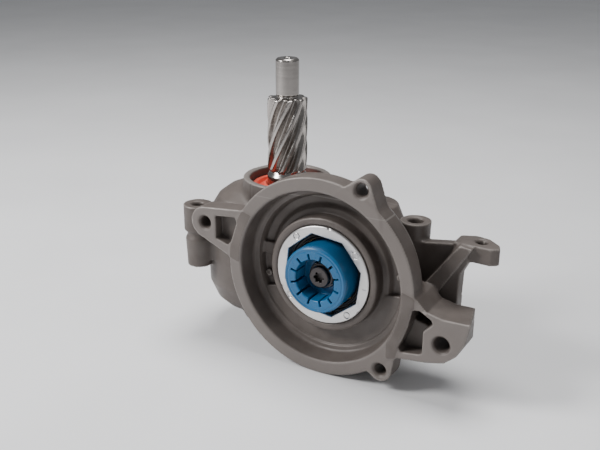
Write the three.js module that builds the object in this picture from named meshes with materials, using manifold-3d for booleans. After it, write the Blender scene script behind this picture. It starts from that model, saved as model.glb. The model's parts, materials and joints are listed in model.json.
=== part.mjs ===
// A right-angle bevel gearbox: an input shaft with a helical pinion, a spur pair,
// a bevel pair and an output coupling sleeve inside a bell-shaped flange.
// Millimetres, +Z up. The input shaft runs along Z through the origin, the output
// shaft runs along -Y, and the underside of the base cover is the plane z = 0.
import * as THREE from "three";
import { mergeVertices } from "three/addons/utils/BufferGeometryUtils.js";
import Module from "manifold-3d";

const wasm = await Module();
wasm.setup();

// ---------------------------------------------------------------- driving sizes
const FIT = 0.2; // gap between pieces that sit on each other
const MOST_ROLLERS = 7;
const SIDES = 20; // of a round piece, unless it needs more
const CUT = 1; // how far a cutter runs past the face it cuts
const PRESSURE_ANGLE = THREE.MathUtils.degToRad(20);

const SPUR_MODULE = 2.5;
const INPUT_TEETH = 21;
const IDLER_TEETH = 29;
const SPUR_BOTTOM = 19;
const SPUR_TOP = 31;
const SPUR_BACKLASH = 0.3;

const BEVEL_MODULE = 3;
const CROWN_TEETH = 23;
const PINION_TEETH = 17;
const BEVEL_WIDTH = 12;
const BEVEL_BACKLASH = 0.35;

const OUTPUT_X = 54.7; // sideways distance from the input axis to the output axis
const OUTPUT_Z = 73;
const CENTRES = (SPUR_MODULE * (INPUT_TEETH + IDLER_TEETH)) / 2;
const IDLER_X = OUTPUT_X;
const IDLER_Y = Math.sqrt(CENTRES ** 2 - OUTPUT_X ** 2);

const COVER_THICK = 14;
const COVER_FLANGE = 5;
const COVER_TOP = COVER_THICK;
const BOSS_WALL = 1.2;
const DRAIN = { x: 82, y: 28, r: 5 };

const COLLAR_R = 33;
const COLLAR_BORE_R = 28.1;
const COLLAR_TOP = 125.7;
const IDLER_TOP = 105;

const BELL_R = 73;
const BELL_BORE_R = 62.8;
const BELL_FRONT = -52;
const BELL_DEPTH = 17;
const LEDGE_FLOOR = BELL_FRONT + BELL_DEPTH;
const BELL_FLOOR = -30.5;
const TOWER_R = 42.2;
const TOWER_FRONT = -43.9;

const NUT_R = 36.5;
const NUT_FRONT = -44.6;
const NUT_BACK = -38.6;
const NUT_CORNER_R = 30.9;
const NUT_PHASE = THREE.MathUtils.degToRad(105.5);

const SLEEVE_R = 24.3;
const SLEEVE_FRONT = -55.2;
const SLEEVE_BACK = -33.8;
const SLEEVE_TIP_R = 15.2;
const SLEEVE_SLOTS = 12;

const SHAFT_END_R = 8.5;
const SHAFT_TOP = 213.8;
const SHAFT_SHOULDER = 185.3;
const HELIX_R = 14.8;
const HELIX_BOTTOM = 130;
const HELIX_TEETH = 9;
const HELIX_ANGLE = THREE.MathUtils.degToRad(24);
const SEAL_SEAT_R = 15;

const UPPER_BEARING = { bottom: 92, top: 107, outer: 27.9, inner: 12.5 };
const LOWER_BEARING = { bottom: 4, top: 14, outer: 16.5, inner: 8 };
const IDLER_LOW_BEARING = { bottom: 4, top: 14, outer: 20, inner: 9 };
const IDLER_TOP_BEARING = { bottom: 92, top: 101, outer: 16, inner: 7.5 };
const OUTPUT_BEARINGS = [
  { name: "front", front: -32.9, back: -21.3 },
  { name: "rear", front: -21.1, back: -9.5 },
];
const OUTPUT_RACE_R = 34;
const OUTPUT_SEAT_R = 17;

// ------------------------------------------------------------------- materials
const finish = (color, roughness, metalness) =>
  new THREE.MeshStandardMaterial({ color, roughness, metalness });
const casting = finish(0x8b8379, 0.6, 0.3);
const steel = finish(0xb9bcc0, 0.3, 1);
const darkSteel = finish(0x4c4846, 0.4, 0.9);
const gearSteel = finish(0x8f9296, 0.35, 1);
const brightAlloy = finish(0xd4d3d2, 0.4, 0.9);
const bluePlastic = finish(0x2a86bd, 0.45, 0);
const redRubber = finish(0xd8483c, 0.6, 0);
const blackRubber = finish(0x1d1d1f, 0.7, 0);
const cageBrass = finish(0xb08d4c, 0.4, 0.9);

// --------------------------------------------------------------- solid helpers
// A closed geometry as a manifold solid, with its faces turned outwards.
function solid(geometry) {
  geometry.deleteAttribute("normal");
  geometry.deleteAttribute("uv");
  const merged = mergeVertices(geometry, 1e-4);
  const vertProperties = merged.attributes.position.array;
  const triVerts = new Uint32Array(merged.index.array);
  const made = new wasm.Manifold(new wasm.Mesh({ numProp: 3, vertProperties, triVerts }));
  if (made.volume() > 0) return made;
  for (let i = 0; i < triVerts.length; i += 3) {
    const first = triVerts[i];
    triVerts[i] = triVerts[i + 1];
    triVerts[i + 1] = first;
  }
  return new wasm.Manifold(new wasm.Mesh({ numProp: 3, vertProperties, triVerts }));
}

function join(first, ...others) {
  return others.reduce((sum, next) => sum.add(next), first);
}

function cut(body, ...tools) {
  return tools.reduce((left, tool) => left.subtract(tool), body);
}

// A solid of revolution about the vertical line through (x, y); profile points are [radius, z].
function turnedZ(profile, x = 0, y = 0, segments = 32) {
  const points = profile.map(([r, z]) => new THREE.Vector2(r, z));
  const geometry = new THREE.LatheGeometry(points, segments).rotateX(Math.PI / 2);
  return solid(geometry.translate(x, y, 0));
}

// A solid of revolution about a line along Y through (x, z); profile points are [radius, y].
function turnedY(profile, x = OUTPUT_X, z = OUTPUT_Z, segments = 32) {
  const points = profile.map(([r, y]) => new THREE.Vector2(r, y));
  return solid(new THREE.LatheGeometry(points, segments).translate(x, 0, z));
}

const rodZ = (r, bottom, top, x = 0, y = 0, segments = SIDES) =>
  turnedZ([[0, bottom], [r, bottom], [r, top], [0, top]], x, y, segments);

const rodY = (r, front, back, x = OUTPUT_X, z = OUTPUT_Z, segments = SIDES) =>
  turnedY([[0, front], [r, front], [r, back], [0, back]], x, z, segments);

const ringZ = (inner, outer, bottom, top, x = 0, y = 0, segments = SIDES) =>
  turnedZ([[inner, bottom], [outer, bottom], [outer, top], [inner, top], [inner, bottom]], x, y, segments);

const ringY = (inner, outer, front, back, x = OUTPUT_X, z = OUTPUT_Z, segments = SIDES) =>
  turnedY([[inner, front], [outer, front], [outer, back], [inner, back], [inner, front]], x, z, segments);

// An outline in the XZ plane, as a slab from front to back along Y.
function slabY(shape, front, back, curveSegments = 8) {
  const depth = back - front;
  const geometry = new THREE.ExtrudeGeometry(shape, { depth, bevelEnabled: false, curveSegments });
  return solid(geometry.rotateX(Math.PI / 2).translate(0, back, 0));
}

// An outline in the XY plane, as a slab from bottom to top.
function slabZ(shape, bottom, top, curveSegments = 8) {
  const depth = top - bottom;
  const geometry = new THREE.ExtrudeGeometry(shape, { depth, bevelEnabled: false, curveSegments });
  return solid(geometry.translate(0, 0, bottom));
}

const outline = (points) => new THREE.Shape(points.map(([x, y]) => new THREE.Vector2(x, y)));

// The shape that wraps tightly round a list of circles [x, y, radius].
function wrapped(circles, steps = 20) {
  const points = [];
  for (let i = 0; i < steps; i++) {
    const angle = (2 * Math.PI * i) / steps;
    const ux = Math.cos(angle);
    const uy = Math.sin(angle);
    const reach = ([x, y, r]) => x * ux + y * uy + r;
    const [x, y, r] = circles.reduce((best, next) => (reach(next) > reach(best) ? next : best));
    points.push([x + r * ux, y + r * uy]);
  }
  return outline(points);
}

const grow = (circles, by) => circles.map(([x, y, r]) => [x, y, r + by]);

// A body whose outline wraps round the circles, grown by a different amount at each height.
function lofted(circles, levels, steps = 32) {
  const positions = [];
  const index = [];
  levels.forEach(([z, by], level) => {
    wrapped(grow(circles, by), steps).getPoints().slice(0, steps).forEach((p, i) => {
      positions.push(p.x, p.y, z);
      const next = (i + 1) % steps;
      if (level === 0) return;
      const low = (level - 1) * steps;
      const high = level * steps;
      index.push(low + i, low + next, high + i, low + next, high + next, high + i);
    });
  });
  const top = (levels.length - 1) * steps;
  for (let i = 1; i < steps - 1; i++) index.push(0, i + 1, i, top, top + i, top + i + 1);
  const geometry = new THREE.BufferGeometry();
  geometry.setAttribute("position", new THREE.Float32BufferAttribute(positions, 3));
  geometry.setIndex(index);
  return solid(geometry);
}

// ----------------------------------------------------------------- the assembly
const gearbox = new THREE.Group();
gearbox.name = "right_angle_bevel_gearbox";

function place(name, body, material, parent = gearbox) {
  const mesh = body.getMesh();
  const geometry = new THREE.BufferGeometry();
  geometry.setAttribute("position", new THREE.BufferAttribute(mesh.vertProperties, 3));
  geometry.setIndex(new THREE.BufferAttribute(mesh.triVerts, 1));
  geometry.computeVertexNormals();
  const piece = new THREE.Mesh(geometry, material);
  piece.name = name;
  parent.add(piece);
  return piece;
}

// ----------------------------------------------------------------------- gears
// The outline of one gear as [radius, angle] pairs, tooth 0 centred on angle 0.
// The flanks are involutes of the base circle, thinned by the backlash.
function gearOutline(pitchR, teeth, module, backlash, addendum = 1, dedendum = 1.25) {
  const baseR = pitchR * Math.cos(PRESSURE_ANGLE);
  const tipR = pitchR + addendum * module;
  const rootR = pitchR - dedendum * module;
  const startR = Math.max(baseR, rootR + 0.15 * module);
  const roll = (r) => {
    const t = Math.sqrt(Math.max((r / baseR) ** 2 - 1, 0));
    return t - Math.atan(t);
  };
  const halfAtPitch = Math.PI / (2 * teeth) - backlash / (2 * pitchR);
  const half = (r) => halfAtPitch + roll(pitchR) - roll(r);
  const steps = 1;
  const flank = [];
  for (let i = 0; i <= steps; i++) {
    const r = startR + ((tipR - startR) * i) / steps;
    flank.push([r, half(r)]);
  }
  const points = [];
  for (let tooth = 0; tooth < teeth; tooth++) {
    const middle = (2 * Math.PI * tooth) / teeth;
    points.push([rootR, middle - half(startR) * 1.12]);
    flank.forEach(([r, angle]) => points.push([r, middle - angle]));
    [...flank].reverse().forEach(([r, angle]) => points.push([r, middle + angle]));
    points.push([rootR, middle + half(startR) * 1.12]);
  }
  return points;
}

const flat = (points) => outline(points.map(([r, angle]) => [r * Math.cos(angle), r * Math.sin(angle)]));

// A spur gear rim about the vertical line through (x, y), tooth 0 turned to the given angle.
function spurRim(teeth, turn, x, y) {
  const points = gearOutline((SPUR_MODULE * teeth) / 2, teeth, SPUR_MODULE, SPUR_BACKLASH);
  const depth = SPUR_TOP - SPUR_BOTTOM;
  const geometry = new THREE.ExtrudeGeometry(flat(points), { depth, bevelEnabled: false });
  return solid(geometry.rotateZ(turn).translate(x, y, SPUR_BOTTOM));
}

// A straight bevel gear with its apex at the origin and its back towards +Z.
// Each tooth section lies on the back cone and shrinks towards the apex.
function bevelBody(teeth, mateTeeth, turn, backRise) {
  const coneAngle = Math.atan(teeth / mateTeeth);
  const coneLength = (BEVEL_MODULE * Math.hypot(teeth, mateTeeth)) / 2;
  const developedR = coneLength * Math.tan(coneAngle);
  const virtualTeeth = teeth / Math.cos(coneAngle);
  const shrink = (coneLength - BEVEL_WIDTH) / coneLength;
  const points = gearOutline(developedR, virtualTeeth, BEVEL_MODULE, BEVEL_BACKLASH, 0.95, 1.3);
  const perTooth = 6;
  const ring = points.slice(0, perTooth);
  const positions = [];
  const outer = [];
  for (let tooth = 0; tooth < teeth; tooth++) {
    ring.forEach(([r, angle]) => {
      const height = r - developedR;
      const radius = coneLength * Math.sin(coneAngle) + height * Math.cos(coneAngle);
      const z = coneLength * Math.cos(coneAngle) - height * Math.sin(coneAngle);
      const around = angle / Math.cos(coneAngle) + (2 * Math.PI * tooth) / teeth + turn;
      outer.push([radius * Math.cos(around), radius * Math.sin(around), z]);
    });
  }
  outer.forEach((p) => positions.push(...p));
  outer.forEach((p) => positions.push(...p.map((value) => value * shrink)));
  const backZ = coneLength * Math.cos(coneAngle) + backRise;
  const frontZ = shrink * (coneLength * Math.cos(coneAngle) + 1.5);
  positions.push(0, 0, backZ, 0, 0, frontZ);
  const count = outer.length;
  const index = [];
  for (let i = 0; i < count; i++) {
    const next = (i + 1) % count;
    index.push(i, next, count + i, next, count + next, count + i);
    index.push(i, 2 * count, next, count + i, count + next, 2 * count + 1);
  }
  const geometry = new THREE.BufferGeometry();
  geometry.setAttribute("position", new THREE.Float32BufferAttribute(positions, 3));
  geometry.setIndex(index);
  return geometry;
}

// -------------------------------------------------------------------- bearings
// A roller bearing about Z or Y: outer race, inner race, and rollers joined to their cage.
function bearing(name, along, { inner, outer, start, end, x, other }) {
  const ring = along === "Z" ? ringZ : ringY;
  const rod = along === "Z" ? rodZ : rodY;
  const span = outer - inner;
  const trackIn = inner + 0.3 * span;
  const trackOut = outer - 0.3 * span;
  const flatTrackOut = trackOut * Math.cos(Math.PI / SIDES); // to the flats of the race
  const middle = (trackIn + flatTrackOut) / 2;
  const rollerR = (flatTrackOut - trackIn) / 2 - FIT;
  place(name + "_outer_race", ring(trackOut, outer, start, end, x, other), steel);
  place(name + "_inner_race", ring(inner, trackIn, start, end, x, other), steel);
  const count = Math.min(MOST_ROLLERS, Math.floor((Math.PI * middle) / (rollerR * 1.45)));
  const edge = 0.3 * (end - start);
  const rim = ring(middle - rollerR * 0.6, middle + rollerR * 0.6, start + edge, end - edge, x, other, 12);
  const rollers = [];
  for (let i = 0; i < count; i++) {
    const angle = (2 * Math.PI * i) / count;
    const dx = middle * Math.cos(angle);
    const dv = middle * Math.sin(angle);
    rollers.push(rod(rollerR, start + 0.6, end - 0.6, x + dx, other + dv, 5));
  }
  place(name + "_roller_cage", join(rim, ...rollers), cageBrass);
}

// ---------------------------------------------------------------- main housing
const coverCircles = [
  [0, 0, 19],
  [IDLER_X, IDLER_Y, 43],
];

const SCREW_HEAD_R = 4.6;
const SCREW_SHANK_R = 2.5;
const SCREW_TIP = 16;
const coverScrews = [
  [0, 120],
  [0, 285],
  [1, -20],
  [1, 40],
  [1, 95],
  [1, 150],
].map(([which, degrees]) => {
  const [x, y, r] = coverCircles[which];
  const angle = THREE.MathUtils.degToRad(degrees);
  return [x + (r + 4.5) * Math.cos(angle), y + (r + 4.5) * Math.sin(angle)];
});

const LEFT_POST = { x: -56, y: -38, r: 11, hole: 4.6, bottom: 56, top: 105 };
const RIGHT_POST = { x: 105, y: 0, r: 11, hole: 5.5, bottom: 84, top: 110 };
const EAR = { x: 155, y: -4, hole: 4, bottom: 93, top: 105 };
const LEFT_LUG = { x: -40, z: 97, r: 12, hole: 4.5 };
const TOP_LUG = { x: 87, z: 143, r: 7.8, hole: 4.4 };
const LOW_LUG = { x: 105, z: 16, r: 8.5, hole: 4.3 };
const ARM_LUG = { x: 148, z: 47, hole: 5.4 };

const screwPads = coverScrews.map(([x, y]) => [x, y, SCREW_HEAD_R + 3]);

function bellFlange() {
  const profile = [
    [0, BELL_FRONT], [BELL_R - 1.2, BELL_FRONT], [BELL_R, BELL_FRONT + 1.2], [BELL_R, -38],
    [69, -30], [62, -20], [50, -12], [0, -12],
  ];
  return turnedY(profile, OUTPUT_X, OUTPUT_Z, 48);
}

// The gear chamber bulges to the left and rounds off above and below.
function chamberShell() {
  const bulge = lofted([[0, 0, 42], [-26, -2, 38]], [
    [16, -20], [21, -13], [28, -6], [38, -1], [48, 0], [84, 0], [98, -3], [106, -8], [112, -16], [117, -26],
  ]);
  const foot = lofted(coverCircles, [[COVER_FLANGE + FIT, 3], [14, 4], [17, 12], [36, 12]]);
  return join(bulge, foot, rodZ(COLLAR_R, 90, COLLAR_TOP, 0, 0, 36));
}

function idlerShell() {
  const profile = [
    [0, COVER_FLANGE + FIT], [46, COVER_FLANGE + FIT], [47, 9], [47, 54],
    [40, 66], [30, 84], [22, IDLER_TOP], [0, IDLER_TOP],
  ];
  return turnedZ(profile, IDLER_X, IDLER_Y, 32);
}

function lug({ x, z, r }, root, front, back) {
  return slabY(wrapped([[x, z, r], root]), front, back);
}

function mainHousing() {
  let body = join(bellFlange(), chamberShell(), idlerShell());
  // the barrel round the output bearings, and the web that ties it to both cases
  const barrel = [[0, -30], [44, -30], [40, -10], [36, IDLER_Y], [0, IDLER_Y]];
  body = join(body, turnedY(barrel, OUTPUT_X, OUTPUT_Z, 36));
  screwPads.forEach(([x, y, r]) => (body = body.add(rodZ(r, COVER_FLANGE + FIT, 30, x, y, 12))));
  // posts with vertical bolt holes
  const necked = [
    [0, LEFT_POST.bottom], [9.6, LEFT_POST.bottom], [10.4, 79], [8.4, 81], [8.4, 83],
    [LEFT_POST.r, 85], [LEFT_POST.r, LEFT_POST.top], [0, LEFT_POST.top],
  ];
  body = join(body, turnedZ(necked, LEFT_POST.x, LEFT_POST.y));
  body = join(body, slabZ(wrapped([[LEFT_POST.x, LEFT_POST.y, 7], [-30, -20, 9]]), 62, 96));
  const { x, y, r, bottom, top } = RIGHT_POST;
  const tapered = [[0, bottom], [r - 1.2, bottom], [r, top], [0, top]];
  body = join(body, turnedZ(tapered, x, y), slabZ(wrapped([[x, y, 9], [80, 0, 16]]), bottom, 102));
  // lugs on the bell
  body = join(body, lug(LEFT_LUG, [-8, 92, 20], BELL_FRONT, -37));
  body = join(body, lug(TOP_LUG, [80, 120, 22], BELL_FRONT, -36));
  body = join(body, lug(LOW_LUG, [95, 40, 22], BELL_FRONT, -36));
  return join(body, ...rightArm());
}

// The right arm: a thick front lug, an upright web behind it, an ear and a diagonal rib.
function rightArm() {
  const lugFace = outline([
    [112, 28], [138, 31], [151, 34], [159, 41], [164, 51], [167, 66],
    [163, 66], [148, 65.5], [137, 68], [130, 75], [112, 80],
  ]);
  const backWeb = outline([
    [96, 40], [138, 40], [141, 58], [141, 79], [145, 86], [150, 94], [140, 102], [100, 98],
  ]);
  const frontWeb = outline([[118, 50], [146, 50], [146, 84], [151, 94], [148, 104], [142, 104], [120, 66]]);
  const rib = outline([[126, 60], [153, 104], [144, 105], [119, 68]]);
  const ear = outline([[138, -14], [138, 2], [148, 6], [158, 4], [168, -5], [170, -11], [165, -15]]);
  return [
    slabY(lugFace, BELL_FRONT, -24),
    slabY(backWeb, -9, -1),
    slabY(frontWeb, -18, -8),
    slabY(rib, -22, -8),
    slabY(outline([[100, 42], [146, 46], [148, 64], [118, 64], [100, 70]]), -25, -2),
    slabZ(ear, EAR.bottom, EAR.top),
  ];
}

function housingCuts() {
  const cuts = coverScrews.map(([x, y]) => rodZ(SCREW_SHANK_R + 2 * FIT, 0, SCREW_TIP + 1, x, y, 8));
  // the gear chamber, open at the bottom
  cuts.push(slabZ(wrapped([[0, 0, 18], [IDLER_X, IDLER_Y, 41.5]], 32), -CUT, 33));
  cuts.push(slabZ(wrapped([[0, 0, 30.5], [IDLER_X, IDLER_Y, 41.5]], 32), 17.5, 33));
  cuts.push(slabZ(wrapped([[0, 0, 24], [-24, -2, 27]]), 32, 76));
  cuts.push(rodZ(40, 33 - CUT, 58, IDLER_X, IDLER_Y, 32));
  cuts.push(slabZ(wrapped([[0, 0, 20], [IDLER_X, IDLER_Y, 20]]), 30, 56));
  // input shaft tunnel, bearing seat and seal seat
  cuts.push(rodZ(18, 70, 95, 0, 0));
  cuts.push(rodZ(COLLAR_BORE_R, UPPER_BEARING.bottom, COLLAR_TOP + CUT, 0, 0, 48));
  // idler shaft tunnel and its top bearing seat
  const tunnel = [[0, 56], [36, 56], [31, 64], [24, 82], [12, 88], [12, 92.5], [0, 92.5]];
  cuts.push(turnedZ(tunnel, IDLER_X, IDLER_Y));
  const seat = IDLER_TOP_BEARING;
  cuts.push(rodZ(seat.outer + FIT, seat.bottom - FIT, seat.top + 0.4, IDLER_X, IDLER_Y));
  // output bore: nut thread, seal and bearing seat, pinion room
  cuts.push(rodY(NUT_R + FIT, TOWER_FRONT - CUT, NUT_BACK + 0.2, OUTPUT_X, OUTPUT_Z, 48));
  cuts.push(rodY(OUTPUT_RACE_R + FIT, -45, -9.2, OUTPUT_X, OUTPUT_Z, 48));
  cuts.push(turnedY([[0, -10], [31.5, -10], [31.5, 4], [26, 16], [0, 16]], OUTPUT_X, OUTPUT_Z, 36));
  // bolt holes
  [LEFT_POST, RIGHT_POST, EAR].forEach(({ x, y, hole, bottom, top }) => {
    cuts.push(rodZ(hole, bottom - CUT, top + CUT, x, y, 20));
    cuts.push(turnedZ([[0, top - 1], [hole, top - 1], [hole + 2, top + 1], [0, top + 1]], x, y, 20));
  });
  [LEFT_LUG, TOP_LUG, LOW_LUG, ARM_LUG].forEach(({ x, z, hole }) => {
    cuts.push(rodY(hole, BELL_FRONT - CUT, -10, x, z, 20));
    const front = BELL_FRONT - CUT;
    const back = BELL_FRONT + 1.2;
    cuts.push(turnedY([[0, front], [hole + 2.2, front], [hole, back], [0, back]], x, z, 20));
  });
  // pockets in the left lug and in the arm lug
  const leftPocket = outline([[-31, 104], [-13, 106], [-11, 102], [-16, 86], [-20, 83], [-31, 86]]);
  const highPocket = outline([[128, 68], [132, 69], [141, 64], [142, 61], [135, 54], [125, 57]]);
  const lowPocket = outline([[126, 58], [135, 54], [135, 38], [133, 36], [120, 34], [118, 37], [122, 47]]);
  cuts.push(slabY(leftPocket, BELL_FRONT - CUT, -43));
  cuts.push(slabY(highPocket, BELL_FRONT - CUT, -30), slabY(lowPocket, BELL_FRONT - CUT, -41));
  return cuts;
}

// The bell is hollow round its tower: a shallow ledge below and a deeper floor above.
function bellHollow() {
  const tower = rodY(TOWER_R, -60, -11, OUTPUT_X, OUTPUT_Z, 48);
  const front = BELL_FRONT - CUT;
  const rim = turnedY(
    [
      [0, front], [BELL_BORE_R + 0.8, front], [BELL_BORE_R + 0.8, BELL_FRONT], [BELL_BORE_R, BELL_FRONT + 1],
      [BELL_BORE_R - 1.5, LEDGE_FLOOR - 1], [58.5, LEDGE_FLOOR], [57, LEDGE_FLOOR - 0.6],
      [TOWER_R, LEDGE_FLOOR + 1.5], [0, LEDGE_FLOOR + 1.5],
    ],
    OUTPUT_X, OUTPUT_Z, 48,
  );
  const deep = turnedY(
    [
      [0, LEDGE_FLOOR - CUT], [57, LEDGE_FLOOR - CUT], [55.5, BELL_FLOOR], [49, BELL_FLOOR],
      [46, -32.5], [0, -32.5],
    ],
    OUTPUT_X, OUTPUT_Z, 40,
  );
  const upperPart = slabY(outline([[-40, 44], [118, 67], [140, 180], [-40, 180]]), -60, 0);
  const hollow = join(rim, deep.intersect(upperPart));
  return hollow.subtract(tower).add(rodY(TOWER_R + 2, -60, TOWER_FRONT, OUTPUT_X, OUTPUT_Z, 48));
}

place("main_housing", cut(mainHousing(), bellHollow(), ...housingCuts()), casting);

// ------------------------------------------------------------------ base cover
function baseCover() {
  let body = slabZ(wrapped(grow(coverCircles, 3), 32), 0, COVER_FLANGE);
  screwPads.forEach(([x, y, r]) => (body = body.add(rodZ(r, 0, COVER_FLANGE, x, y, 12))));
  const seats = [];
  const bosses = [[0, 0, LOWER_BEARING], [IDLER_X, IDLER_Y, IDLER_LOW_BEARING]];
  bosses.forEach(([x, y, { outer, bottom }]) => {
    body = body.add(rodZ(outer + BOSS_WALL, 0, COVER_TOP, x, y, 24));
    seats.push(rodZ(outer + FIT, bottom - FIT, COVER_TOP + CUT, x, y));
  });
  const hole = SCREW_SHANK_R + 2 * FIT;
  const holes = coverScrews.map(([x, y]) => rodZ(hole, -CUT, COVER_FLANGE + CUT, x, y, 8));
  const sinks = coverScrews.map(([x, y]) => rodZ(SCREW_HEAD_R + 0.6, -CUT, 3.2, x, y, 12));
  const drain = rodZ(DRAIN.r + 0.3, -CUT, COVER_FLANGE + CUT, DRAIN.x, DRAIN.y, 20);
  return cut(body, ...seats, ...holes, ...sinks, drain);
}
place("base_cover", baseCover(), casting);

// A socket screw hangs head down in the cover and reaches up into the housing.
function coverScrew(x, y) {
  const head = rodZ(SCREW_HEAD_R, 0.4, 3, x, y, 12);
  const shank = rodZ(SCREW_SHANK_R, 2, SCREW_TIP, x, y, 8);
  return head.add(shank).subtract(rodZ(SCREW_HEAD_R * 0.5, -CUT, 2, x, y, 6));
}
coverScrews.forEach(([x, y], i) => place("cover_screw_" + (i + 1), coverScrew(x, y), darkSteel));

// ------------------------------------------------------- input shaft and its gear
const towardIdler = Math.atan2(IDLER_Y, IDLER_X);

const INPUT_GEAR_SEAT = 11;

// The toothed length is an extruded outline, twisted along its height.
function helicalTeeth() {
  const pitchR = HELIX_R - 2;
  const root = pitchR - 2;
  const points = [];
  for (let tooth = 0; tooth < HELIX_TEETH; tooth++) {
    const middle = (2 * Math.PI * tooth) / HELIX_TEETH;
    const step = Math.PI / HELIX_TEETH;
    const flank = [[root, 0.92], [pitchR, 0.52], [HELIX_R, 0.24]];
    flank.forEach(([r, share]) => points.push([r, middle - step * share]));
    [...flank].reverse().forEach(([r, share]) => points.push([r, middle + step * share]));
  }
  const depth = SHAFT_SHOULDER - HELIX_BOTTOM;
  const geometry = new THREE.ExtrudeGeometry(flat(points), { depth, steps: 7, bevelEnabled: false });
  const position = geometry.attributes.position;
  for (let i = 0; i < position.count; i++) {
    const z = position.getZ(i);
    const twist = (z * Math.tan(HELIX_ANGLE)) / pitchR;
    const x = position.getX(i);
    const y = position.getY(i);
    position.setX(i, x * Math.cos(twist) - y * Math.sin(twist));
    position.setY(i, x * Math.sin(twist) + y * Math.cos(twist));
  }
  return solid(geometry.translate(0, 0, HELIX_BOTTOM));
}

function inputShaft() {
  const seat = UPPER_BEARING.inner - FIT;
  const low = LOWER_BEARING.inner - FIT;
  const top = SHAFT_TOP;
  const shoulder = SHAFT_SHOULDER + 0.5;
  const core = turnedZ(
    [
      [0, 4.2], [7, 4.2], [low, 5], [low, 14.6], [12, 14.6], [12, 17.8], [INPUT_GEAR_SEAT, 17.8],
      [INPUT_GEAR_SEAT, 44], [14.5, 44], [14.5, 91.5], [seat, 91.5], [seat, 108], [SEAL_SEAT_R, 108],
      [SEAL_SEAT_R, HELIX_BOTTOM - 3], [12.5, HELIX_BOTTOM + 1], [9.6, HELIX_BOTTOM + 1.5], [9.6, shoulder],
      [SHAFT_END_R, shoulder], [SHAFT_END_R, top - 1.4], [SHAFT_END_R - 1.4, top], [2.4, top], [0, top - 3.5],
    ],
    0, 0, SIDES,
  );
  const key = slabZ(outline([[10, -3], [14.2, -3], [14.2, 3], [10, 3]]), 19, 31);
  return join(core, helicalTeeth()).add(key);
}
place("input_shaft", inputShaft(), steel);

function spurGear(teeth, turn, x, y, bore) {
  const rim = spurRim(teeth, turn, x, y);
  const hole = rodZ(bore, SPUR_BOTTOM - CUT, SPUR_TOP + CUT, x, y);
  const near = x + bore - 2;
  const far = x + bore + 3.4;
  const slot = outline([[near, y - 3.2], [far, y - 3.2], [far, y + 3.2], [near, y + 3.2]]);
  const keyway = slabZ(slot, SPUR_BOTTOM - CUT, SPUR_TOP + CUT);
  const dish = ringZ(bore + 7, (SPUR_MODULE * teeth) / 2 - 7, SPUR_TOP - 2.5, SPUR_TOP + CUT, x, y);
  return cut(rim, hole, keyway, dish);
}
place("input_gear", spurGear(INPUT_TEETH, towardIdler, 0, 0, INPUT_GEAR_SEAT + FIT), gearSteel);
place("input_gear_spacer", ringZ(INPUT_GEAR_SEAT + FIT, 14.3, SPUR_TOP + FIT, 43.7), steel);
place("input_gear_circlip", ringZ(12.3, 16.5, 15, 17.5), darkSteel);

// ---------------------------------------------------------------- idler shaft
const IDLER_SEAT = 9;
const CROWN_BORE = 13;
const crownBack = OUTPUT_Z - (BEVEL_MODULE * PINION_TEETH) / 2 - 7;
function idlerShaft() {
  const low = IDLER_LOW_BEARING.inner - FIT;
  const high = IDLER_TOP_BEARING.inner - FIT;
  const seat = CROWN_BORE - FIT;
  const step = crownBack - FIT;
  const core = turnedZ(
    [
      [0, 4.2], [low, 4.2], [low, 14.6], [12, 14.6], [12, 18.8], [IDLER_SEAT, 18.8], [IDLER_SEAT, 31.5],
      [24, 34], [24, step], [seat, step], [seat, 60], [10, 62], [10, 90], [high, 91.6], [high, 101], [0, 101],
    ],
    IDLER_X, IDLER_Y, SIDES,
  );
  const x = IDLER_X + IDLER_SEAT - 1;
  const side = [[x, IDLER_Y - 3], [x + 4, IDLER_Y - 3], [x + 4, IDLER_Y + 3], [x, IDLER_Y + 3]];
  return core.add(slabZ(outline(side), 19.4, 31));
}
place("idler_shaft", idlerShaft(), steel);
const idlerTurn = towardIdler + Math.PI + Math.PI / IDLER_TEETH;
place("idler_gear", spurGear(IDLER_TEETH, idlerTurn, IDLER_X, IDLER_Y, IDLER_SEAT + FIT), gearSteel);

// The crown gear's apex is where the idler axis meets the output axis; its back faces down.
const toWorld = (geometry, rotate) => solid(rotate(geometry).translate(IDLER_X, IDLER_Y, OUTPUT_Z));
function crownGear() {
  const teeth = toWorld(bevelBody(CROWN_TEETH, PINION_TEETH, Math.PI / 2, 7), (g) => g.rotateX(Math.PI));
  const bore = rodZ(CROWN_BORE, 0, OUTPUT_Z, IDLER_X, IDLER_Y);
  return teeth.subtract(bore);
}
place("crown_gear", crownGear(), gearSteel);
place("crown_gear_circlip", ringZ(CROWN_BORE, 16.5, 57.6, 59.4, IDLER_X, IDLER_Y), darkSteel);

// ----------------------------------------------------------------- output shaft
function outputShaft() {
  const back = (g) => g.rotateX(Math.PI / 2);
  const turn = -Math.PI / 2 + Math.PI / PINION_TEETH;
  const teeth = toWorld(bevelBody(PINION_TEETH, CROWN_TEETH, turn, 2), back);
  const large = IDLER_Y - (BEVEL_MODULE * CROWN_TEETH) / 2;
  const seat = OUTPUT_SEAT_R - FIT;
  const core = turnedY(
    [
      [0, -41.6], [9.6, -41.6], [10, -41.2], [10, SLEEVE_BACK + 0.4], [seat, SLEEVE_BACK + 0.4], [seat, -9.2],
      [20, -9.2], [22, large - 2.5], [0, large + 1],
    ],
    OUTPUT_X, OUTPUT_Z, SIDES,
  );
  const thread = rodY(4.3, -43, -26, OUTPUT_X, OUTPUT_Z, 16);
  return teeth.add(core).subtract(thread);
}
place("output_pinion_shaft", outputShaft(), gearSteel);

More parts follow.
